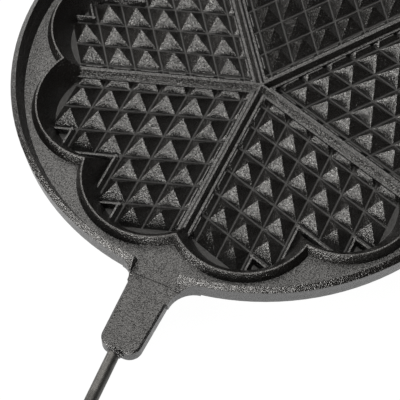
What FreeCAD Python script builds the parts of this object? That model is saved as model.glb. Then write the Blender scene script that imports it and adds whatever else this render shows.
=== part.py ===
import FreeCAD, Part
import math
import os

# A round stovetop waffle iron: two cast-iron plates with five heart moulds each, hinged to fold over each
# other. It is modelled lying open and flat. Millimetres, +Z up. The origin is the centre of the lower
# plate's flat underside. The lower handle points along -Y, the hinge pin lies along X on the +Y side, and
# the upper plate lies beyond it with its handle along +Y.

os.makedirs("parts", exist_ok=True)
Vec = FreeCAD.Vector
UP = Vec(0, 0, 1)
ALONG_X = Vec(1, 0, 0)
ALONG_Y = Vec(0, 1, 0)
full_turn = 360
half_turn = 180
quarter_turn = 90
handle_angle = -90

# One overrun serves every cut and every buried root.
overrun = 2.0

# Plate: underside, flange and rim. The widths and insets are measured inwards from the rim's outer edge.
rim_radius = 115.0
rim_draft = 1.05
rim_crest_width = 2.45
rim_inner_draft = 3.25
rim_top_height = 21.0
rim_edge_drop = 1.8
flange_bottom_height = 9.0
flange_floor_height = 12.65
flange_edge_round = 0.9
upper_flange_clearance = 0.15
base_inset = 17.0
base_slope_width = 7.0
base_edge_round = 1.5

# Scalloped wall round the five hearts. Each heart has two round lobes.
hearts = 5
ridge_height = 16.75
ridge_width = 0.9
ridge_round = 0.25
trough_width = 4.8
lobe_radius_share = 0.311
lobe_offset_angle = 17.7
outer_wall_draft = 1.85
inner_wall_draft = 7.65
inner_wall_hollow = 0.8

# Mould floor, dividers between hearts, and the studs
mould_floor_height = 4.45
divider_hub_height = 10.0
divider_fall = 0.4
divider_crest_width = 1.0
divider_brow_width = 1.5
divider_brow_drop = 0.6
divider_foot_width = 3.8
shoulder_width = 6.2
shoulder_height = 7.0
stud_pitch = 13.07
stud_first = 12.43
first_groove = 6.76
stud_height = 11.35
stud_tip_width = 0.5
groove_floor_width = 0.7

# Low bars: beside the dividers, and at the corners of the studded field. Widths are measured from a groove.
bar_height = 7.0
side_bar_near_foot = 0.4
side_bar_near_crest = 2.3
side_bar_far_crest = 2.85
side_bar_seam = 3.1
side_bar_root = 3.6
side_bar_seam_depth = 1.3
corner_bar_near_foot = 0.45
corner_bar_near_crest = 1.65
corner_bar_far_crest = 2.55
corner_bar_far_foot = 3.6

# Tang: the cast lug that holds the handle rod
tang_shift = 0.7
tang_root_width = 20.8
tang_end_width = 18.2
tang_length = 37.2
tang_corner_radius = 5.8
tang_top_height = 14.4
tang_thickness = 7.0
tang_edge_round = 0.9
root_fillet_left = 7.0
root_fillet_right = 12.0
gusset_fall_reach = 3.0
notch_left = 9.9
notch_right = 11.0
notch_floor_height = 14.8
notch_floor_reach = 1.2
upper_tang_clearance = 0.5

# Handle rod, bent once so that the two grips lie side by side when the iron is closed
rod_diameter = 5.5
rod_embed = 26.0
rod_root_shift = -0.2
rod_lean = 1.4
rod_straight_length = 32.0
rod_crank_length = 38.0
rod_bend_radius = 22.0
grip_shift = 12.0

# Collar, ferrule, grip, washer and hanging eye, threaded on the rod in this order
collar_distance = 11.0
collar_length = 5.0
collar_diameter = 10.0
collar_round = 0.8
ferrule_length = 15.0
ferrule_wall = 1.0
ferrule_front_diameter = 14.5
ferrule_back_diameter = 17.5
grip_length = 112.0
grip_waist_diameter = 18.0
grip_belly_diameter = 22.0
grip_end_diameter = 17.0
grip_belly_share = 0.62
grip_neck_share = 0.16
grip_end_round = 2.5
washer_diameter = 14.0
washer_thickness = 1.2
eye_shank_diameter = 9.0
eye_shank_length = 13.0
eye_diameter = 20.0
eye_bore_diameter = 10.0
eye_thickness = 4.0
eye_edge_round = 0.6
rod_thread_length = 10.0
slip_clearance = 0.05

# Hinge
hinge_reach = 13.0
closed_gap = 0.3
knuckle_radius = 8.0
knuckle_width = 18.2
knuckle_side_gap = 0.5
ear_thickness = 8.0
pin_diameter = 6.0
pin_running_clearance = 0.08
pin_fit_clearance = 0.02
pin_head_diameter = 10.5
pin_head_thickness = 2.6
pin_head_round = 0.8
pin_tail_length = 4.6
hinge_washer_diameter = 13.0
hinge_washer_thickness = 1.2
split_pin_diameter = 1.6
split_pin_clearance = 0.05
split_pin_leg_length = 5.0
split_pin_leg_angle = 32
split_pin_loop_radius = 1.7

# Places that follow from the sizes
step_angle = full_turn / hearts
rim_inner_radius = rim_radius - rim_crest_width
rim_foot_radius = rim_inner_radius - rim_inner_draft
rim_bottom_radius = rim_radius - rim_draft
rim_edge_height = rim_top_height - rim_edge_drop
upper_flange_height = flange_floor_height - upper_flange_clearance
base_radius = rim_radius - base_inset
root_radius = rim_foot_radius - overrun
mould_radius = rim_foot_radius - trough_width
lobe_ridge_radius = mould_radius * lobe_radius_share
lobe_centre_radius = mould_radius - lobe_ridge_radius
tang_end_radius = rim_radius + tang_length
rod_crank_start = tang_end_radius + rod_straight_length
rod_crank_end = rod_crank_start + rod_crank_length
collar_start = rod_crank_end + collar_distance
hinge_distance = rim_radius + hinge_reach

# The hinge pin lies half the closed gap above the scalloped ridges, so the ridges meet when the iron closes.
hinge_height = ridge_height + closed_gap / 2

# The upper tang stands higher on its plate, so that it lies in the lower plate's notch when closed.
upper_tang_top = hinge_height * 2 - notch_floor_height - closed_gap
lower_rod_height = tang_top_height - tang_thickness / 2
upper_rod_height = upper_tang_top - tang_thickness / 2


def polar(radius, degrees, height=0):
    """Point at a radius and an angle about the Z axis."""
    turn = math.radians(degrees)
    return Vec(radius * math.cos(turn), radius * math.sin(turn), height)


def turned(profile):
    """Solid of revolution about Z from (radius, height) corners."""
    corners = [Vec(radius, 0, height) for radius, height in profile]
    face = Part.Face(Part.makePolygon(corners + corners[:1]))
    return face.revolve(Vec(0, 0, 0), UP, full_turn)


def prism(corners, bottom, top):
    """Upright prism on a closed polygon of plan points."""
    base = [Vec(point.x, point.y, bottom) for point in corners]
    face = Part.Face(Part.makePolygon(base + base[:1]))
    return face.extrude(Vec(0, 0, top - bottom))


def on_handle_axis(shape, shift, distance, height):
    """Stand a Z-turned piece on the handle line, its own +Z pointing outwards along -Y."""
    shape.rotate(Vec(0, 0, 0), ALONG_X, quarter_turn)
    shape.translate(Vec(shift, -distance, height))
    return shape


def chamfered_disc(diameter, thickness, edge):
    """Corners of a disc's turned outline, on Z from zero, with both rim edges broken."""
    radius = diameter / 2
    return [
        (0, 0),
        (radius - edge, 0),
        (radius, edge),
        (radius, thickness - edge),
        (radius - edge, thickness),
        (0, thickness),
    ]


# Plate discs

def underside():
    """Outline of the plate's back, from its centre out to the bottom of the edge."""
    return [
        (0, 0),
        (base_radius - base_edge_round, 0),
        (base_radius, base_edge_round),
        (base_radius + base_slope_width, flange_bottom_height),
        (rim_bottom_radius - flange_edge_round, flange_bottom_height),
        (rim_bottom_radius, flange_bottom_height + flange_edge_round),
    ]


def lower_disc():
    """Disc with the raised rim that catches overflowing batter."""
    rim = [
        (rim_radius, rim_edge_height),
        (rim_inner_radius, rim_top_height),
        (rim_foot_radius, flange_floor_height),
        (0, flange_floor_height),
    ]
    return turned(underside() + rim)


def upper_disc():
    """Disc with a plain flange that lies on the lower rim when closed."""
    edge = [
        (rim_radius, upper_flange_height - flange_edge_round),
        (rim_radius - flange_edge_round, upper_flange_height),
        (0, upper_flange_height),
    ]
    return turned(underside() + edge)


# Scalloped wall and mould

def lobe_centres():
    """The ten lobe centres: two for each divider, one at each side of it."""
    centres = []
    for index in range(hearts):
        divider = handle_angle + index * step_angle
        centres.append(polar(lobe_centre_radius, divider - lobe_offset_angle))
        centres.append(polar(lobe_centre_radius, divider + lobe_offset_angle))
    return centres


def ring_of_lobes(profile):
    """One turned shape at every lobe centre, joined round a disc that fills the middle."""
    bottom = profile[0][1]
    top = profile[-1][1]
    middle = Part.makeCylinder(lobe_centre_radius, top - bottom, Vec(0, 0, bottom))
    lobes = []
    for centre in lobe_centres():
        lobe = turned(profile)
        lobe.translate(centre)
        lobes.append(lobe)
    return middle.fuse(lobes).removeSplitter()


def scalloped_wall():
    """The raised block that the mould is sunk into, with a drafted outer face and a broken top edge."""
    crest = lobe_ridge_radius + ridge_width / 2
    foot = crest + outer_wall_draft
    return ring_of_lobes([
        (0, flange_bottom_height),
        (foot, flange_bottom_height),
        (foot, upper_flange_height),
        (crest, ridge_height - ridge_round),
        (crest - ridge_round, ridge_height),
        (0, ridge_height),
    ])


def mould_space():
    """The open space of the mould before studs and dividers are left standing in it."""
    crest = lobe_ridge_radius - ridge_width / 2
    foot = crest - inner_wall_draft
    middle_height = (mould_floor_height + ridge_height) / 2
    return ring_of_lobes([
        (0, mould_floor_height),
        (foot, mould_floor_height),
        ((foot + crest) / 2 - inner_wall_hollow, middle_height),
        (crest - ridge_round, ridge_height - ridge_round),
        (crest, ridge_height),
        (crest, ridge_height + overrun),
        (0, ridge_height + overrun),
    ])


def divider():
    """A straight ridge on a flat shoulder, from the hub to the wall. Its crest falls slightly outwards."""
    root = mould_floor_height - overrun
    half_crest = divider_crest_width / 2
    half_brow = divider_brow_width / 2
    half_foot = divider_foot_width / 2
    half_shoulder = shoulder_width / 2
    sections = []
    for distance, crest in ((0, divider_hub_height), (mould_radius, divider_hub_height - divider_fall)):
        corners = [
            Vec(distance, -half_shoulder, root),
            Vec(distance, half_shoulder, root),
            Vec(distance, half_shoulder, shoulder_height),
            Vec(distance, half_foot, shoulder_height),
            Vec(distance, half_brow, crest - divider_brow_drop),
            Vec(distance, half_crest, crest),
            Vec(distance, -half_crest, crest),
            Vec(distance, -half_brow, crest - divider_brow_drop),
            Vec(distance, -half_foot, shoulder_height),
            Vec(distance, -half_shoulder, shoulder_height),
        ]
        sections.append(Part.makePolygon(corners + corners[:1]))
    return Part.makeLoft(sections, True, True)


# Studs of one heart. Its two sides are the dividers at handle_angle and one step further round.
side_a = polar(1, handle_angle)
side_b = polar(1, handle_angle + step_angle)
across_share = math.sin(math.radians(step_angle))
along_share = math.cos(math.radians(step_angle))


def in_heart(along_a, along_b, height=0):
    """Point given by its distances along the heart's two sides."""
    return side_a * along_a + side_b * along_b + Vec(0, 0, height)


def stud_fits(row, place):
    """Whether the floor has room for the stud at this row and place: near the hub, or inside a lobe."""
    centre = in_heart(stud_first + place * stud_pitch, stud_first + row * stud_pitch)
    lobe_floor_radius = lobe_ridge_radius - ridge_width / 2 - inner_wall_draft
    in_lobe = any((centre - lobe).Length < lobe_floor_radius for lobe in lobe_centres())
    return in_lobe or centre.Length < lobe_centre_radius


def stud_rows():
    """Number of studs in each row that runs along side A, from the hub to the wall."""
    counts = []
    while stud_fits(len(counts), 0):
        count = 0
        while stud_fits(len(counts), count):
            count += 1
        counts.append(count)
    return counts


def groove_lines():
    """Distances along a side of the grooves between studs, the outermost ones included."""
    start = stud_first - stud_pitch / 2
    inner = [start + (index + 1) * stud_pitch for index in range(len(stud_rows()))]
    return [first_groove] + inner


def groove_cutters(along, other):
    """V-shaped cutters that run parallel to one side, one on each groove line of the other side."""
    half_pitch = stud_pitch * across_share / 2
    rise = stud_height - mould_floor_height
    run = half_pitch - stud_tip_width / 2 - groove_floor_width / 2
    slope_share = run / rise
    bottom = mould_floor_height - groove_floor_width / 2 / slope_share
    top = stud_height + overrun
    half_top = (top - bottom) * slope_share
    outwards = other - along * other.dot(along)
    outwards.normalize()
    cutters = []
    for line in groove_lines():
        foot = other * line
        corners = [
            foot + Vec(0, 0, bottom),
            foot + outwards * half_top + Vec(0, 0, top),
            foot - outwards * half_top + Vec(0, 0, top),
        ]
        start = along * -stud_pitch
        face = Part.Face(Part.makePolygon([point + start for point in corners + corners[:1]]))
        cutters.append(face.extrude(along * (mould_radius + stud_pitch)))
    return cutters


def stud_field_outline():
    """Stepped outline of the studded field, with a step wherever a row is shorter than the last."""
    lines = groove_lines()
    counts = stud_rows()
    points = [in_heart(lines[0], lines[0]), in_heart(lines[counts[0]], lines[0])]
    for row in range(1, len(counts)):
        if counts[row] != counts[row - 1]:
            points.append(in_heart(lines[counts[row - 1]], lines[row]))
            points.append(in_heart(lines[counts[row]], lines[row]))
    points.append(in_heart(lines[counts[-1]], lines[-1]))
    points.append(in_heart(lines[0], lines[-1]))
    return points


def low_bar(along, other, groove, start, profile, side):
    """Low bar beside a groove that runs parallel to one side of the heart. Side -1 is the hub's side."""
    outwards = other - along * other.dot(along)
    outwards.normalize()
    origin = outwards * (groove * across_share) + along * start
    corners = [origin + outwards * (across * side) + Vec(0, 0, height) for across, height in profile]
    face = Part.Face(Part.makePolygon(corners + corners[:1]))
    return face.extrude(along * mould_radius)


def side_bar(along, other):
    """Bar between the first groove and a divider's shoulder, with a narrow seam between it and the shoulder."""
    root = mould_floor_height - overrun
    seam_height = bar_height - side_bar_seam_depth
    profile = [
        (side_bar_near_foot, root),
        (side_bar_near_foot, mould_floor_height),
        (side_bar_near_crest, bar_height),
        (side_bar_far_crest, bar_height),
        (side_bar_seam, seam_height),
        (side_bar_root, seam_height),
        (side_bar_root, root),
    ]
    start = first_groove - side_bar_root / across_share
    return low_bar(along, other, first_groove, start, profile, -1)


def corner_bars():
    """Bars on the free floor beyond each inner corner of the studded field, two at each corner."""
    lines = groove_lines()
    counts = stud_rows()
    root = mould_floor_height - overrun
    profile = [
        (corner_bar_near_foot, root),
        (corner_bar_near_foot, mould_floor_height),
        (corner_bar_near_crest, bar_height),
        (corner_bar_far_crest, bar_height),
        (corner_bar_far_foot, mould_floor_height),
        (corner_bar_far_foot, root),
    ]
    bars = []
    for row in range(1, len(counts)):
        if counts[row] != counts[row - 1]:
            line_a = lines[counts[row]]
            line_b = lines[row]
            crest = corner_bar_near_crest / across_share
            start_a = line_a + crest + line_b * along_share
            start_b = line_b + crest + line_a * along_share
            bars.append(low_bar(side_a, side_b, line_b, start_a, profile, 1))
            bars.append(low_bar(side_b, side_a, line_a, start_b, profile, 1))
    return bars


def heart_studs():
    """Everything that stands on the floor of one heart: the studs and the low bars round them."""
    grooves_a = groove_cutters(side_a, side_b)
    grooves_b = groove_cutters(side_b, side_a)
    field = prism(stud_field_outline(), mould_floor_height - overrun, stud_height)
    field = field.cut(grooves_a + grooves_b)
    bar_a = side_bar(side_a, side_b).cut(grooves_b)
    bar_b = side_bar(side_b, side_a).cut(grooves_a)
    return [field, bar_a, bar_b] + corner_bars()


def mould_cutter():
    """The mould's space with dividers and studs taken out of it."""
    standing = []
    for index in range(hearts):
        turn = index * step_angle
        ridge = divider()
        ridge.rotate(Vec(0, 0, 0), UP, handle_angle + turn)
        standing.append(ridge)
        for piece in heart_studs():
            piece.rotate(Vec(0, 0, 0), UP, turn)
            standing.append(piece)
    return mould_space().cut(standing)


# Tang and handle side

def tang_outline(shift, root_width, end_width, inset):
    """Plan wire of the tang: a slowly narrowing strip with two rounded end corners."""
    half_root = root_width / 2 - inset
    half_end = end_width / 2 - inset
    end = -(tang_end_radius - inset)
    corner = tang_corner_radius - inset
    diagonal = corner * (1 - math.sqrt(1 / 2))
    root = -root_radius
    left_corner = Vec(shift - half_end, end + corner, 0)
    left_middle = Vec(shift - half_end + diagonal, end + diagonal, 0)
    left_end = Vec(shift - half_end + corner, end, 0)
    right_end = Vec(shift + half_end - corner, end, 0)
    right_middle = Vec(shift + half_end - diagonal, end + diagonal, 0)
    right_corner = Vec(shift + half_end, end + corner, 0)
    left_root = Vec(shift - half_root, root, 0)
    right_root = Vec(shift + half_root, root, 0)
    return Part.Wire([
        Part.LineSegment(left_root, left_corner).toShape(),
        Part.Arc(left_corner, left_middle, left_end).toShape(),
        Part.LineSegment(left_end, right_end).toShape(),
        Part.Arc(right_end, right_middle, right_corner).toShape(),
        Part.LineSegment(right_corner, right_root).toShape(),
        Part.LineSegment(right_root, left_root).toShape(),
    ])


def rim_hollow():
    """Space inside the rim, which the pieces that are rooted in it leave free."""
    return turned([
        (0, flange_floor_height),
        (rim_foot_radius, flange_floor_height),
        (rim_inner_radius, rim_top_height),
        (0, rim_top_height),
    ])


def tang(shift, root_width, end_width, top):
    """Tang with its edges bevelled above and below."""
    bottom = top - tang_thickness
    layers = [
        (bottom, tang_edge_round),
        (bottom + tang_edge_round, 0),
        (top - tang_edge_round, 0),
        (top, tang_edge_round),
    ]
    sections = []
    for height, inset in layers:
        wire = tang_outline(shift, root_width, end_width, inset)
        wire.translate(Vec(0, 0, height))
        sections.append(wire)
    slabs = [Part.makeLoft([low, high], True, True) for low, high in zip(sections, sections[1:])]
    return slabs[0].fuse(slabs[1:]).removeSplitter()


def gusset_outline(side_x, side, fillet, edge_radius, height):
    """Plan wire of a gusset: its concave arc joins the flank and a plate edge of the given radius."""
    reach = edge_radius + fillet
    centre_x = side_x + side * fillet
    centre = Vec(centre_x, -math.sqrt(reach ** 2 - centre_x ** 2), 0)
    on_flank = Vec(side_x, centre.y, 0)
    on_rim = centre * (edge_radius / reach)
    towards = (on_flank + on_rim) / 2 - centre
    towards.normalize()
    middle = centre + towards * fillet
    inner_rim = on_rim * (root_radius / edge_radius)
    inner_flank = Vec(side_x - side * overrun, -root_radius, 0)
    outer_flank = Vec(side_x - side * overrun, centre.y, 0)
    wire = Part.Wire([
        Part.Arc(on_rim, middle, on_flank).toShape(),
        Part.LineSegment(on_flank, outer_flank).toShape(),
        Part.LineSegment(outer_flank, inner_flank).toShape(),
        Part.LineSegment(inner_flank, inner_rim).toShape(),
        Part.LineSegment(inner_rim, on_rim).toShape(),
    ])
    wire.translate(Vec(0, 0, height))
    return wire


def root_gusset(side_x, side, fillet, top):
    """Concave fillet between the plate's drafted edge and one flank of the tang."""
    low = gusset_outline(side_x, side, fillet, rim_bottom_radius, flange_bottom_height)
    high = gusset_outline(side_x, side, fillet, rim_radius, top)
    return Part.makeLoft([low, high], True, True)


def falling_gusset(side_x, side, fillet):
    """Lower plate's gusset, whose top falls from the rim's edge to the tang."""
    reach = rim_radius + fillet
    slope = turned([
        (0, flange_bottom_height),
        (reach, flange_bottom_height),
        (reach, tang_top_height),
        (rim_radius + gusset_fall_reach, tang_top_height),
        (rim_radius, rim_edge_height),
        (0, rim_edge_height),
    ])
    return root_gusset(side_x, side, fillet, rim_edge_height).common(slope)


def front_notch():
    """Cut through the rim for the upper plate's tang."""
    reach = rim_radius + root_fillet_right
    corners = [
        Vec(-notch_left, -reach, 0),
        Vec(notch_right, -reach, 0),
        Vec(notch_right, -root_radius, 0),
        Vec(-notch_left, -root_radius, 0),
    ]
    return prism(corners, notch_floor_height, rim_top_height + overrun)


def notch_step():
    """Low step at the notch's outer side, which carries its floor a little way onto the tang."""
    reach = rim_radius + notch_floor_reach
    corners = [
        Vec(-notch_left + tang_edge_round * 2, -reach, 0),
        Vec(notch_right - tang_edge_round, -reach, 0),
        Vec(notch_right - tang_edge_round, -rim_inner_radius, 0),
        Vec(-notch_left + tang_edge_round * 2, -rim_inner_radius, 0),
    ]
    return prism(corners, flange_floor_height, notch_floor_height)


def rod_path(root_x, height):
    """Centre line of a handle rod: out of the tang, one double bend, then straight to its threaded end."""
    start_distance = tang_end_radius - rod_embed
    lean_share = (rod_crank_start - start_distance) / (rod_crank_start - tang_end_radius)
    lean_start = root_x - rod_lean * (lean_share - 1)
    rod_end = grip_start() + grip_length + washer_thickness + rod_thread_length
    return [
        Vec(lean_start, -start_distance, height),
        Vec(root_x + rod_lean, -rod_crank_start, height),
        Vec(grip_shift, -rod_crank_end, hinge_height),
        Vec(grip_shift, -rod_end, hinge_height),
    ]


def swept_rod(points, radius, bend_radius):
    """Round rod along straight runs joined by tangent arcs."""
    edges = []
    last = points[0]
    for before, point, after in zip(points, points[1:], points[2:]):
        inwards = (before - point).normalize()
        outwards = (after - point).normalize()
        half_angle = inwards.getAngle(outwards) / 2
        back_off = bend_radius / math.tan(half_angle)
        bisector = (inwards + outwards).normalize()
        centre = point + bisector * (bend_radius / math.sin(half_angle))
        arc_start = point + inwards * back_off
        arc_end = point + outwards * back_off
        arc_middle = centre - bisector * bend_radius
        edges.append(Part.LineSegment(last, arc_start).toShape())
        edges.append(Part.Arc(arc_start, arc_middle, arc_end).toShape())
        last = arc_end
    edges.append(Part.LineSegment(last, points[-1]).toShape())
    path = Part.Wire(edges)
    direction = points[1] - points[0]
    ring = Part.Wire(Part.makeCircle(radius, points[0], direction))
    return path.makePipeShell([ring], True, False)


def handle_rod(root_x, height):
    return swept_rod(rod_path(root_x, height), rod_diameter / 2, rod_bend_radius)


def rod_socket(root_x, height):
    """Bore that the cast-in rod fills."""
    start, bend = rod_path(root_x, height)[:2]
    direction = bend - start
    return Part.makeCylinder(rod_diameter / 2, direction.Length, start, direction)


# Hinge side

def hinge_block(left, right, top_root):
    """Rounded lug round the hinge axis, between two planes square to X, rooted in the plate's edge."""
    barrel = Part.makeCylinder(
        knuckle_radius, right - left, Vec(left, hinge_distance, hinge_height), ALONG_X)
    corners = [
        Vec(left, root_radius, flange_bottom_height),
        Vec(left, hinge_distance, hinge_height - knuckle_radius),
        Vec(left, hinge_distance, top_root),
        Vec(left, root_radius, top_root),
    ]
    web = Part.Face(Part.makePolygon(corners + corners[:1])).extrude(ALONG_X * (right - left))
    return barrel.fuse(web).removeSplitter()


def ears():
    """The lower plate's two ears, one at each side of the knuckle."""
    inner = knuckle_width / 2 + knuckle_side_gap
    outer = inner + ear_thickness
    return [hinge_block(inner, outer, rim_edge_height), hinge_block(-outer, -inner, rim_edge_height)]


def rear_notch():
    """Cut through the rim for the upper plate's hinge arm."""
    half_width = knuckle_width / 2 + knuckle_side_gap
    corners = [
        Vec(-half_width, root_radius, 0),
        Vec(half_width, root_radius, 0),
        Vec(half_width, hinge_distance - knuckle_radius - knuckle_side_gap, 0),
        Vec(-half_width, hinge_distance - knuckle_radius - knuckle_side_gap, 0),
    ]
    return prism(corners, notch_floor_height, rim_top_height + overrun)


def hinge_bore(left, right, clearance):
    radius = pin_diameter / 2 + clearance
    start = Vec(left - overrun, hinge_distance, hinge_height)
    return Part.makeCylinder(radius, right - left + overrun * 2, start, ALONG_X)


def lower_plate():
    half_width = knuckle_width / 2 + knuckle_side_gap + ear_thickness
    flank = tang_root_width / 2
    rooted = [
        tang(tang_shift, tang_root_width, tang_end_width, tang_top_height),
        falling_gusset(tang_shift - flank, -1, root_fillet_left),
        falling_gusset(tang_shift + flank, 1, root_fillet_right),
        notch_step(),
    ]
    hollow = rim_hollow()
    outside = [piece.cut(hollow) for piece in rooted + ears()]
    body = lower_disc().fuse([scalloped_wall()] + outside)
    return body.cut([
        mould_cutter(),
        front_notch(),
        rear_notch(),
        rod_socket(rod_root_shift, lower_rod_height),
        hinge_bore(-half_width, half_width, pin_fit_clearance),
    ]).removeSplitter()


def upper_plate():
    """The upper casting, built like the lower one with its handle along -Y, before it is turned round."""
    root_width = (notch_right - upper_tang_clearance - tang_shift) * 2
    end_width = root_width + tang_end_width - tang_root_width
    flank = root_width / 2
    body = upper_disc().fuse([
        scalloped_wall(),
        tang(-tang_shift, root_width, end_width, upper_tang_top),
        upper_tang_foot(root_width - tang_edge_round * 2),
        root_gusset(-tang_shift - flank, -1, root_fillet_right, upper_flange_height),
        root_gusset(-tang_shift + flank, 1, root_fillet_left, upper_flange_height),
        hinge_block(-knuckle_width / 2, knuckle_width / 2, upper_tang_top),
    ])
    return body.cut([
        mould_cutter(),
        rod_socket(-rod_root_shift, upper_rod_height),
        hinge_bore(-knuckle_width / 2, knuckle_width / 2, pin_running_clearance),
    ]).removeSplitter()


def upper_tang_foot(width):
    """Block that carries the raised upper tang down to the bottom of the flange."""
    outer = rim_radius + root_fillet_left
    corners = [
        Vec(-tang_shift - width / 2, -outer, 0),
        Vec(-tang_shift + width / 2, -outer, 0),
        Vec(-tang_shift + width / 2, -root_radius, 0),
        Vec(-tang_shift - width / 2, -root_radius, 0),
    ]
    return prism(corners, flange_bottom_height, upper_tang_top - tang_thickness / 2)


# Handle furniture, each piece turned about the rod and listed in the order it is threaded on

def ferrule_start():
    return collar_start + collar_length


def grip_start():
    return ferrule_start() + ferrule_wall


def on_rod(profile, distance, clearance):
    """Turned piece threaded on the straight end of the rod."""
    piece = turned(profile)
    top = max(height for radius, height in profile)
    bore = Part.makeCylinder(rod_diameter / 2 + clearance, top + overrun * 2, Vec(0, 0, -overrun))
    return on_handle_axis(piece.cut(bore), grip_shift, distance, hinge_height)


def collar():
    return on_rod(chamfered_disc(collar_diameter, collar_length, collar_round), collar_start, slip_clearance)


def grip_radius_at(distance):
    """Grip's seat under the ferrule widens at the ferrule's own taper."""
    taper_share = distance / ferrule_length
    outer = ferrule_front_diameter + (ferrule_back_diameter - ferrule_front_diameter) * taper_share
    return outer / 2 - ferrule_wall - slip_clearance


def ferrule():
    """Tapered steel cap over the front of the grip."""
    front = ferrule_front_diameter / 2
    back = ferrule_back_diameter / 2
    shell = turned([(0, 0), (front - ferrule_wall / 2, 0), (front, ferrule_wall / 2), (back, ferrule_length),
                    (0, ferrule_length)])
    seat = turned([
        (0, ferrule_wall),
        (grip_radius_at(ferrule_wall) + slip_clearance, ferrule_wall),
        (grip_radius_at(ferrule_length) + slip_clearance, ferrule_length),
        (0, ferrule_length),
    ])
    bore = Part.makeCylinder(rod_diameter / 2 + slip_clearance, ferrule_wall)
    return on_handle_axis(shell.cut([seat, bore]), grip_shift, ferrule_start(), hinge_height)


def grip():
    """Turned wooden grip: a seat for the ferrule, a neck, a belly and a rounded end."""
    seat_end = ferrule_length - ferrule_wall
    neck = grip_length * grip_neck_share
    belly = grip_length * grip_belly_share
    end = grip_length - grip_end_round
    front_foot = Vec(grip_radius_at(ferrule_wall), 0, 0)
    seat_corner = Vec(grip_radius_at(ferrule_length), 0, seat_end)
    shoulder = Vec(ferrule_back_diameter / 2, 0, seat_end)
    neck_point = Vec(grip_waist_diameter / 2, 0, neck)
    belly_point = Vec(grip_belly_diameter / 2, 0, belly)
    end_point = Vec(grip_end_diameter / 2, 0, end)
    tail = Vec(grip_end_diameter / 2 - grip_end_round, 0, grip_length)
    round_share = 1 - math.sqrt(1 / 2)
    round_point = Vec(grip_end_diameter / 2 - grip_end_round * round_share, 0,
                      grip_length - grip_end_round * round_share)
    swell = Part.BSplineCurve()
    swell.interpolate([shoulder, neck_point, belly_point, end_point])
    outline = Part.Wire([
        Part.LineSegment(Vec(0, 0, 0), front_foot).toShape(),
        Part.LineSegment(front_foot, seat_corner).toShape(),
        Part.LineSegment(seat_corner, shoulder).toShape(),
        swell.toShape(),
        Part.Arc(end_point, round_point, tail).toShape(),
        Part.LineSegment(tail, Vec(0, 0, grip_length)).toShape(),
        Part.LineSegment(Vec(0, 0, grip_length), Vec(0, 0, 0)).toShape(),
    ])
    body = Part.Face(outline).revolve(Vec(0, 0, 0), UP, full_turn)
    bore = Part.makeCylinder(rod_diameter / 2 + slip_clearance, grip_length)
    return on_handle_axis(body.cut(bore), grip_shift, grip_start(), hinge_height)


def end_washer():
    start = grip_start() + grip_length
    return on_rod(chamfered_disc(washer_diameter, washer_thickness, slip_clearance), start, slip_clearance)


def hanging_eye():
    """Eye nut that holds the grip on: a round shank that runs into a flat ring with an upright hole."""
    start = grip_start() + grip_length + washer_thickness
    shank = turned(chamfered_disc(eye_shank_diameter, eye_shank_length, eye_edge_round))
    ring_centre = eye_shank_length + eye_bore_diameter / 2 + eye_edge_round
    ring = turned(chamfered_disc(eye_diameter, eye_thickness, eye_edge_round))
    ring.rotate(Vec(0, 0, 0), ALONG_Y, quarter_turn)
    ring.translate(Vec(-eye_thickness / 2, 0, ring_centre))
    bore = Part.makeCylinder(
        eye_bore_diameter / 2, eye_shank_diameter + overrun, Vec(-eye_shank_diameter / 2, 0, ring_centre), ALONG_X)
    thread = Part.makeCylinder(rod_diameter / 2, rod_thread_length)
    body = shank.fuse(ring).cut([bore, thread]).removeSplitter()
    return on_handle_axis(body, grip_shift, start, hinge_height)


# Hinge pin and what holds it

def pin_reach():
    """Distance from the middle to the outer face of a hinge washer."""
    return knuckle_width / 2 + knuckle_side_gap + ear_thickness + hinge_washer_thickness


def split_pin_place():
    return -(pin_reach() + split_pin_diameter / 2 + split_pin_clearance)


def across_hinge(shape, start_x):
    """Lay a Z-turned piece on the hinge axis, its own +Z pointing along +X from start_x."""
    shape.rotate(Vec(0, 0, 0), ALONG_Y, quarter_turn)
    shape.translate(Vec(start_x, hinge_distance, hinge_height))
    return shape


def hinge_pin():
    reach = pin_reach()
    tail = reach + pin_tail_length
    shank = turned(chamfered_disc(pin_diameter, reach + tail, pin_head_round))
    head = turned(chamfered_disc(pin_head_diameter, pin_head_thickness, pin_head_round))
    body = across_hinge(shank, -tail).fuse(across_hinge(head, reach)).removeSplitter()
    hole_height = hinge_height - pin_diameter
    hole = Part.makeCylinder(split_pin_diameter / 2 + split_pin_clearance, pin_diameter * 2,
                             Vec(split_pin_place(), hinge_distance, hole_height))
    return body.cut(hole)


def hinge_washers():
    washers = []
    for start in (pin_reach() - hinge_washer_thickness, -pin_reach()):
        ring = turned(chamfered_disc(hinge_washer_diameter, hinge_washer_thickness, slip_clearance))
        bore = Part.makeCylinder(pin_diameter / 2 + slip_clearance, hinge_washer_thickness)
        washers.append(across_hinge(ring.cut(bore), start))
    return Part.makeCompound(washers)


def hinge_split_pin():
    """Bent wire pin: a loop above the hinge pin, a straight shank through it and two spread legs below."""
    radius = split_pin_diameter / 2
    place = Vec(split_pin_place(), hinge_distance, hinge_height)
    drop = pin_diameter / 2 + slip_clearance
    shank = Part.makeCylinder(radius, drop * 2 + radius, place - UP * drop)
    loop = Part.makeTorus(split_pin_loop_radius, radius,
                          place + UP * (drop + radius + split_pin_loop_radius), ALONG_X)
    legs = []
    for side in (-1, 1):
        leg = Part.makeCylinder(radius, split_pin_leg_length, Vec(0, 0, -split_pin_leg_length))
        leg.rotate(Vec(0, 0, 0), ALONG_X, side * split_pin_leg_angle)
        leg.translate(place - UP * drop)
        legs.append(leg)
    joint = Part.makeSphere(radius, place - UP * drop)
    return shank.fuse([loop, joint] + legs).removeSplitter()


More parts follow.
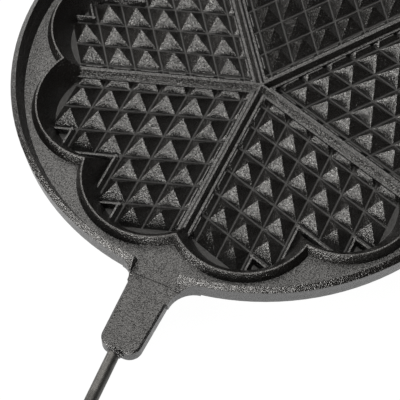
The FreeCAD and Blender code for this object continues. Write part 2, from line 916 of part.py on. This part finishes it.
def turned_round(shape):
    """The upper half faces the lower one across the hinge."""
    shape.rotate(Vec(0, hinge_distance, 0), UP, half_turn)
    return shape


nodes = {
    "lower_plate": lower_plate(),
    "upper_plate": turned_round(upper_plate()),
    "hinge_pin": hinge_pin(),
    "hinge_washers": hinge_washers(),
    "hinge_split_pin": hinge_split_pin(),
}

halves = (
    ("lower", rod_root_shift, lower_rod_height, lambda shape: shape),
    ("upper", -rod_root_shift, upper_rod_height, turned_round),
)
for half, root_x, height, placed in halves:
    nodes[half + "_handle_rod"] = placed(handle_rod(root_x, height))
    nodes[half + "_stop_collar"] = placed(collar())
    nodes[half + "_ferrule"] = placed(ferrule())
    nodes[half + "_grip"] = placed(grip())
    nodes[half + "_end_washer"] = placed(end_washer())
    nodes[half + "_hanging_eye"] = placed(hanging_eye())

for name, shape in nodes.items():
    box = shape.BoundBox
    print(name, "solids", len(shape.Solids), "valid", shape.isValid(), "volume", round(shape.Volume),
          "z", round(box.ZMin, 2), round(box.ZMax, 2), "y", round(box.YMin, 1), round(box.YMax, 1))
    shape.exportStep("parts/" + name + ".step")
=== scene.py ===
import math

import bmesh
import bpy
import numpy as np
from mathutils import Matrix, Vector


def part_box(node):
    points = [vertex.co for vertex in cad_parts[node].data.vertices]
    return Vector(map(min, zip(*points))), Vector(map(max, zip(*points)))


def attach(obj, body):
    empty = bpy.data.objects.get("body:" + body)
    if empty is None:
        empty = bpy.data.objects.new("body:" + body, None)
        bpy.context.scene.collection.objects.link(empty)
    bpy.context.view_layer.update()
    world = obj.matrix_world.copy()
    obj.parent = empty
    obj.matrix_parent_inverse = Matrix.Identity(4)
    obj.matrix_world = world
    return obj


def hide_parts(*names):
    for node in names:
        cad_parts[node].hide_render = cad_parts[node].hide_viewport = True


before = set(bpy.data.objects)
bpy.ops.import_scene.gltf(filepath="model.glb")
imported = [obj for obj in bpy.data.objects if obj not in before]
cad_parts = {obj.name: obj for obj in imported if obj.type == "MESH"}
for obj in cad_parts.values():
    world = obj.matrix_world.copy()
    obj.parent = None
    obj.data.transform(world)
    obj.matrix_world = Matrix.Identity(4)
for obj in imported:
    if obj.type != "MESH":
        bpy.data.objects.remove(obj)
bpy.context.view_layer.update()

# The two plates are grey iron cast in sand, with the skin that the mould leaves on them, baked with oil until
# they are black. Their shapes are the frame's own. The sand's grain is a fine bump. The tops of ridge and rim,
# which rub and wear, are painted a lighter bare iron that is partly real wear and partly a painted highlight
# along the crests. The grooves at the bottom of the moulds keep a dull crust.

sand_size = 0.00045
sand_share = 0.7
lump_size = 0.0011
lump_share = 0.4
patch_size = 0.022
patch_roughness = 0.6
grain_strength = 1.0
grain_depth = 0.00031
grain_sand_share = 0.7
grain_patch_share = 0.3
grain_limits = (0.40, 0.66)
# Height bands of the ridge's crest and the rim's top that are painted lighter: partly real wear, partly painted
# highlight.
ridge_wear_highlight_start = (0.0164, 0.0167)
ridge_wear_highlight_end = (0.0169, 0.0173)
rim_wear_highlight_start = (0.0198, 0.0206)
rim_wear_highlight_share = 0.25
crust_end = (0.0045, 0.0050)
oil_black = (0.0019, 0.0014, 0.0011, 1)
oil_brown = (0.0064, 0.0054, 0.0046, 1)
bare_iron_highlight = (0.030, 0.028, 0.026, 1)
bare_highlight_share = 0.6
iron_refraction = 1.85
skin_roughness = 0.28
grain_polish = 0.12
patch_dulling = 0.08
crust_dulling = 0.32
wear_polish = 0.03
casting_edge_radius = 0.0002
bevel_samples = 6
merge_distance = 0.000002
crease_angle = 32


class Signal:
    """A value that varies over a surface. Sums, differences and products of signals add Math nodes."""

    def __init__(self, tree, socket=None):
        self.tree = tree
        self.socket = socket

    def make(self, kind, settings=None, sockets=None, output=0):
        """Adds a node of any kind, with its settings, then the value or the link of each socket."""
        node = self.tree.nodes.new(kind)
        for name, value in (settings or {}).items():
            setattr(node, name, value)
        for name, value in (sockets or {}).items():
            if isinstance(value, Signal):
                self.tree.links.new(value.socket, node.inputs[name])
            else:
                node.inputs[name].default_value = value
        return Signal(self.tree, node.outputs[output] if node.outputs else None)

    def maths(self, operation, first, second=0.0):
        return self.make("ShaderNodeMath", {"operation": operation}, {0: first, 1: second})

    def __add__(self, other):
        return self.maths("ADD", self, other)

    def __radd__(self, other):
        return self.maths("ADD", other, self)

    def __sub__(self, other):
        return self.maths("SUBTRACT", self, other)

    def __rsub__(self, other):
        return self.maths("SUBTRACT", other, self)

    def __mul__(self, other):
        return self.maths("MULTIPLY", self, other)

    def __rmul__(self, other):
        return self.maths("MULTIPLY", other, self)

    def steps(self, low, high):
        """Smooth share of the way from low to high, held between 0 and 1."""
        return self.make("ShaderNodeMapRange", {"interpolation_type": "SMOOTHSTEP"},
                         {"Value": self, "From Min": low, "From Max": high})

    def blend(self, first, second):
        """Colour that goes from first to second as this signal goes from 0 to 1."""
        return self.make("ShaderNodeMix", {"data_type": "RGBA"}, {"Factor": self, 6: first, 7: second}, 2)

    def part(self, axis):
        """The x, y or z value of a vector signal, by number."""
        return self.make("ShaderNodeSeparateXYZ", None, {0: self}, axis)

    def noise(self, size, detail=2.0, roughness=0.5):
        """Noise over a vector signal, with features of about the given size in metres."""
        return self.make("ShaderNodeTexNoise", None, {
            "Vector": self, "Scale": 1 / size, "Detail": detail, "Roughness": roughness})

    def stretched(self, scales):
        """A vector signal with each of its axes scaled."""
        return self.make("ShaderNodeVectorMath", {"operation": "MULTIPLY"}, {0: self, 1: scales})


def new_material(name):
    """Empty node material, and the place on the object as a vector signal."""
    material = bpy.data.materials.new(name)
    material.use_nodes = True
    material.node_tree.nodes.clear()
    place = Signal(material.node_tree).make("ShaderNodeTexCoord", output=3)
    return material, place


def finish_material(place, constants, varying):
    """Ends a material in one shader: constants are set on its sockets, and varying signals are linked."""
    shader = place.make("ShaderNodeBsdfPrincipled", None, {**constants, **varying})
    place.make("ShaderNodeOutputMaterial", None, {"Surface": shader})


def grained(place, height, strength, depth, edge_radius):
    """Bumped normal over edges that are rounded to a radius."""
    rounded = place.make("ShaderNodeBevel", {"samples": bevel_samples}, {"Radius": edge_radius})
    return place.make("ShaderNodeBump", None, {
        "Strength": strength, "Distance": depth, "Height": height, "Normal": rounded})


def cast_iron(name):
    """Black oiled skin. Its lighter grains are also the smoother ones. Levels are heights above the table."""
    material, place = new_material(name)
    sand = place.noise(sand_size, detail=0.0)
    lumps = place.noise(lump_size, detail=1.0)
    patches = place.noise(patch_size, detail=3.0, roughness=patch_roughness)
    height = sand * sand_share + lumps * lump_share
    level = place.part(2)
    # Painted highlight: the crest band of the ridge and the top of the rim get a lighter bare-iron colour,
    # partly real wear.
    ridge_wear_highlight = level.steps(*ridge_wear_highlight_start) * (1.0 - level.steps(*ridge_wear_highlight_end))
    wear_and_highlight = ridge_wear_highlight + level.steps(*rim_wear_highlight_start) * rim_wear_highlight_share
    crust = 1.0 - level.steps(*crust_end)
    grain = (sand * grain_sand_share + patches * grain_patch_share).steps(*grain_limits)
    skin = grain.blend(oil_black, oil_brown)
    polish = skin_roughness - grain * grain_polish
    finish_material(place, {"Metallic": 0.0, "IOR": iron_refraction}, {
        # Base colour: lighter bare iron on the crests, partly wear and partly painted highlight.
        "Base Color": (wear_and_highlight * bare_highlight_share).blend(skin, bare_iron_highlight),
        "Roughness": polish + patches * patch_dulling + crust * crust_dulling - wear_and_highlight * wear_polish,
        "Normal": grained(place, height, grain_strength, grain_depth, casting_edge_radius),
    })
    return material


def smooth_copy(node, name, material):
    """Merged copy of a frame node, shaded smooth up to the crease angle, that stands for the node."""
    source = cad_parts[node]
    mesh = source.data.copy()
    mesh.name = name
    work = bmesh.new()
    work.from_mesh(mesh)
    bmesh.ops.remove_doubles(work, verts=work.verts, dist=merge_distance)
    work.to_mesh(mesh)
    work.free()
    mesh.attributes.remove(mesh.attributes["custom_normal"])
    mesh.shade_smooth()
    mesh.set_sharp_from_angle(angle=math.radians(crease_angle))
    mesh.materials.clear()
    mesh.materials.append(material)
    piece = bpy.data.objects.new(name, mesh)
    bpy.context.scene.collection.objects.link(piece)
    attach(piece, "upper_half" if node.startswith("upper") else "lower_half")
    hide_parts(node)


iron = cast_iron("seasoned_cast_iron")
for plate in ("lower_plate", "upper_plate"):
    smooth_copy(plate, plate + "_casting", iron)

# Where each rod leaves its tang, the cast iron has run a little way along the rod and broken off ragged. This
# flash is part of the casting. On the lower half it is thickest at the upper right, and on the upper half
# on the side that turns away from the lower rod when the iron is folded shut.

flash_root_shift = -0.0002
flash_ring_radius = 0.0029
flash_thin = 0.0005
flash_thick = 0.0011
flash_peaks = {"lower": math.radians(38), "upper": math.radians(-60)}
flash_sharpness = 5
flash_reach = 0.8
ragged_share = 0.55
ragged_least = 0.35
ragged_waves = 14
ragged_size_range = (0.0009, 0.0032)
ragged_seed = 7
rod_radius = 0.00275


def ragged_ring(centre, turn, peak, around=220, across=72):
    """Closed rough ring about the Y axis through centre, as vertices and quads.

    Angle u goes round the rod and angle v round the ring's own section. The section's radius is the thin value
    plus the thick one times ((1 + cos(u - peak)) / 2) ^ sharpness, times 1 plus the sum of seeded plane waves.
    A turn of -1 turns the ring half round about Z.
    """
    u = np.linspace(0, 2 * math.pi, around, endpoint=False)[:, None]
    v = np.linspace(0, 2 * math.pi, across, endpoint=False)[None, :]
    section = flash_thin + flash_thick * ((1 + np.cos(u - peak)) / 2) ** flash_sharpness
    outward = np.stack([np.cos(u), 0 * u, np.sin(u)], axis=-1)
    along = np.array([0.0, -1.0, 0.0])

    def surface(radius):
        reach = flash_ring_radius + radius * np.cos(v)
        return outward * reach[..., None] + along * (radius * np.sin(v) * flash_reach)[..., None]

    draw = np.random.default_rng(ragged_seed)
    heading = draw.normal(size=(ragged_waves, 3))
    heading /= np.linalg.norm(heading, axis=1, keepdims=True)
    size = draw.uniform(*ragged_size_range, ragged_waves)
    phase = draw.uniform(0, 2 * math.pi, ragged_waves)
    waves = np.cos(surface(section + 0 * v) @ (2 * math.pi * heading / size[:, None]).T + phase)
    ragged = 1 + ragged_share * waves.sum(axis=-1) / math.sqrt(ragged_waves)
    vertices = surface(section * np.clip(ragged, ragged_least, None)) * (turn, turn, 1) + centre
    number = np.arange(around * across).reshape(around, across)
    right = np.roll(number, -1, axis=0)
    corners = [number, right, np.roll(right, -1, axis=1), np.roll(number, -1, axis=1)]
    return vertices.reshape(-1, 3), np.stack(corners, axis=-1).reshape(-1, 4)


def casting_flash(half, turn):
    """Flash at the end of one tang. The upper half lies half a turn round from the lower one."""
    low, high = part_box(half + "_plate")
    rod_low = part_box(half + "_handle_rod")[0]
    tang_end = low[1] if turn > 0 else high[1]
    centre = (flash_root_shift * turn, tang_end, rod_low[2] + rod_radius)
    vertices, quads = ragged_ring(centre, turn, flash_peaks[half])
    name = half + "_plate_casting_flash"
    mesh = bpy.data.meshes.new(name)
    mesh.from_pydata(vertices.tolist(), [], quads.tolist())
    mesh.shade_smooth()
    mesh.materials.append(iron)
    flash = bpy.data.objects.new(name, mesh)
    bpy.context.scene.collection.objects.link(flash)
    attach(flash, half + "_half")


casting_flash("lower", 1)
casting_flash("upper", -1)

# The rods, and the collars, ferrules, washers and eyes that are threaded on them, are drawn mild steel, left
# dark from the fire. The hinge pin, its washers and its split pin are barer steel, pushed through the knuckles.

scale_size = 0.0011
scale_depth = 0.0002
scale_strength = 0.35
tarnish_size = 0.008
tarnish_limits = (0.35, 0.65)
tarnish_share = 0.6
tarnish_dulling = 0.15
steel_edge_radius = 0.0002
rod_colour = (0.155, 0.152, 0.147)
rod_roughness = 0.42
pin_colour = (0.42, 0.41, 0.40)
pin_roughness = 0.30


def dark_steel(name, colour, roughness):
    """Steel of one colour, darker in patches, under a thin rough scale."""
    material, place = new_material(name)
    scale = place.noise(scale_size, detail=4.0)
    patches = place.noise(tarnish_size, detail=3.0)
    tarnished = tuple(tarnish_share * part for part in colour)
    finish_material(place, {"Metallic": 1.0}, {
        "Base Color": patches.steps(*tarnish_limits).blend(colour + (1,), tarnished + (1,)),
        "Roughness": roughness + patches * tarnish_dulling,
        "Normal": grained(place, scale, scale_strength, scale_depth, steel_edge_radius),
    })
    return material


rod_steel = dark_steel("blackened_rod_steel", rod_colour, rod_roughness)
for half in ("lower", "upper"):
    for piece in ("handle_rod", "stop_collar", "ferrule", "end_washer", "hanging_eye"):
        node = half + "_" + piece
        smooth_copy(node, node + "_steel", rod_steel)

pin_steel = dark_steel("hinge_pin_steel", pin_colour, pin_roughness)
for node in ("hinge_pin", "hinge_washers", "hinge_split_pin"):
    smooth_copy(node, node + "_steel", pin_steel)

# The grips are turned from beech with the grain along them, and oiled. Each sits on its rod between the ferrule
# and the end washer.

fibre_size = 0.0012
fibre_stretch = (1, 0.08, 1)
fibre_strength = 0.2
fibre_depth = 0.0002
grip_edge_radius = 0.0004
beech_dark = (0.21, 0.105, 0.045, 1)
beech_light = (0.36, 0.2, 0.1, 1)
beech_roughness = 0.4
fibre_dulling = 0.2


def turned_wood(name):
    """Wood whose fibres run along Y."""
    material, place = new_material(name)
    fibres = place.stretched(fibre_stretch).noise(fibre_size, detail=5.0)
    finish_material(place, {}, {
        "Base Color": fibres.blend(beech_dark, beech_light),
        "Roughness": beech_roughness + fibres * fibre_dulling,
        "Normal": grained(place, fibres, fibre_strength, fibre_depth, grip_edge_radius),
    })
    return material


wood = turned_wood("oiled_beech")
for half in ("lower", "upper"):
    smooth_copy(half + "_grip", half + "_grip_wood", wood)

# The iron lies on a white table in a white room. The table glows a little by itself, so that it stays white
# under the shadows, and the room is white for the camera alone, so that the iron's side walls stay dark.

table_size = 8.0
table_glow_share = 0.94
table_glow = 0.9
camera_white = 1.03
cloth_colour = (0.92, 0.92, 0.92, 1)
pure_white = (1, 1, 1, 1)
room_white = 1.0
room_glow = 0.012


def white_table():
    half = table_size / 2
    mesh = bpy.data.meshes.new("table")
    corners = [(-half, -half, 0), (half, -half, 0), (half, half, 0), (-half, half, 0)]
    mesh.from_pydata(corners, [], [(0, 1, 2, 3)])
    material, place = new_material("white_table")
    cloth = place.make("ShaderNodeBsdfDiffuse", None, {"Color": cloth_colour})
    seen = place.make("ShaderNodeLightPath")
    dim = place.make("ShaderNodeEmission", None, {"Color": pure_white, "Strength": table_glow})
    white = place.make("ShaderNodeEmission", None, {"Color": pure_white, "Strength": camera_white})
    glow = place.make("ShaderNodeMixShader", None, {0: seen, 1: dim, 2: white})
    shader = place.make("ShaderNodeMixShader", None, {0: table_glow_share, 1: cloth, 2: glow})
    place.make("ShaderNodeOutputMaterial", None, {"Surface": shader})
    mesh.materials.append(material)
    table = bpy.data.objects.new("table", mesh)
    bpy.context.scene.collection.objects.link(table)


def studio_room():
    """White for the camera, dim for everything else."""
    world = bpy.data.worlds.new("studio")
    bpy.context.scene.world = world
    world.use_nodes = True
    world.node_tree.nodes.clear()
    start = Signal(world.node_tree)
    seen = start.make("ShaderNodeLightPath")
    dim = start.make("ShaderNodeBackground", None, {"Color": pure_white, "Strength": room_glow})
    white = start.make("ShaderNodeBackground", None, {"Color": pure_white, "Strength": room_white})
    shader = start.make("ShaderNodeMixShader", None, {0: seen, 1: dim, 2: white})
    start.make("ShaderNodeOutputWorld", None, {"Surface": shader})


white_table()
studio_room()

# Four soft lamps light it. Two small ones low at the front left and the front right pick out the studs' front
# faces, a large one high behind is mirrored by every level face, and one at the left lights the rim's side.

lamp_colour = (1.0, 0.98, 0.945)
lamp_distance = 1.1


def from_angles(azimuth, elevation):
    """Unit vector away from the object. Azimuth 0 is the handle's side and grows to the right."""
    turn = math.radians(azimuth)
    rise = math.radians(elevation)
    return np.array([math.cos(rise) * math.sin(turn), -math.cos(rise) * math.cos(turn), math.sin(rise)])


def looking_from(away, position, roll=0.0):
    """Matrix of a lamp or camera at a position, looking against the away vector, turned by roll degrees."""
    level = np.array([-away[1], away[0], 0.0])
    level /= np.linalg.norm(level)
    up = np.cross(away, level)
    lean = math.radians(roll)
    matrix = np.eye(4)
    matrix[:3, 0] = level * math.cos(lean) + up * math.sin(lean)
    matrix[:3, 1] = up * math.cos(lean) - level * math.sin(lean)
    matrix[:3, 2] = away
    matrix[:3, 3] = position
    return Matrix(matrix.tolist())


def soft_lamp(name, brightness, width, height, azimuth, elevation):
    """Rectangular lamp aimed at the lower plate's middle, with the brightness that its face shows."""
    lamp = bpy.data.lights.new(name, "AREA")
    lamp.shape = "RECTANGLE"
    lamp.size = width
    lamp.size_y = height
    lamp.energy = brightness * math.pi * width * height
    lamp.color = lamp_colour
    holder = bpy.data.objects.new(name, lamp)
    bpy.context.scene.collection.objects.link(holder)
    away = from_angles(azimuth, elevation)
    holder.matrix_world = looking_from(away, away * lamp_distance)


soft_lamp("front_left_softbox", brightness=13.5, width=0.4, height=0.4, azimuth=-38, elevation=22)
soft_lamp("front_right_softbox", brightness=13.0, width=0.4, height=0.4, azimuth=12, elevation=33)
soft_lamp("overhead_softbox", brightness=2.7, width=0.8, height=1.0, azimuth=-154, elevation=63)
soft_lamp("left_softbox", brightness=4.0, width=0.6, height=0.6, azimuth=-115, elevation=24)

# Camera at the photograph's place: it looks down on the front of the lower plate from the right.

photo_pixels = 400
focal_pixels = 1630.78
sensor_width = 36.0
near_limit = 0.01
view_azimuth = 26.03
view_elevation = 58.22
view_roll = -1.33
view_distance = 0.70806
view_target = np.array([0.00356, -0.07502, 0.021])


def photo_camera():
    camera = bpy.data.cameras.new("camera")
    camera.sensor_width = sensor_width
    camera.lens = sensor_width * focal_pixels / photo_pixels
    camera.clip_start = near_limit
    holder = bpy.data.objects.new("camera", camera)
    bpy.context.scene.collection.objects.link(holder)
    away = from_angles(view_azimuth, view_elevation)
    holder.matrix_world = looking_from(away, view_target + away * view_distance, view_roll)
    bpy.context.scene.camera = holder


photo_camera()
bpy.context.scene.view_settings.view_transform = "Standard"
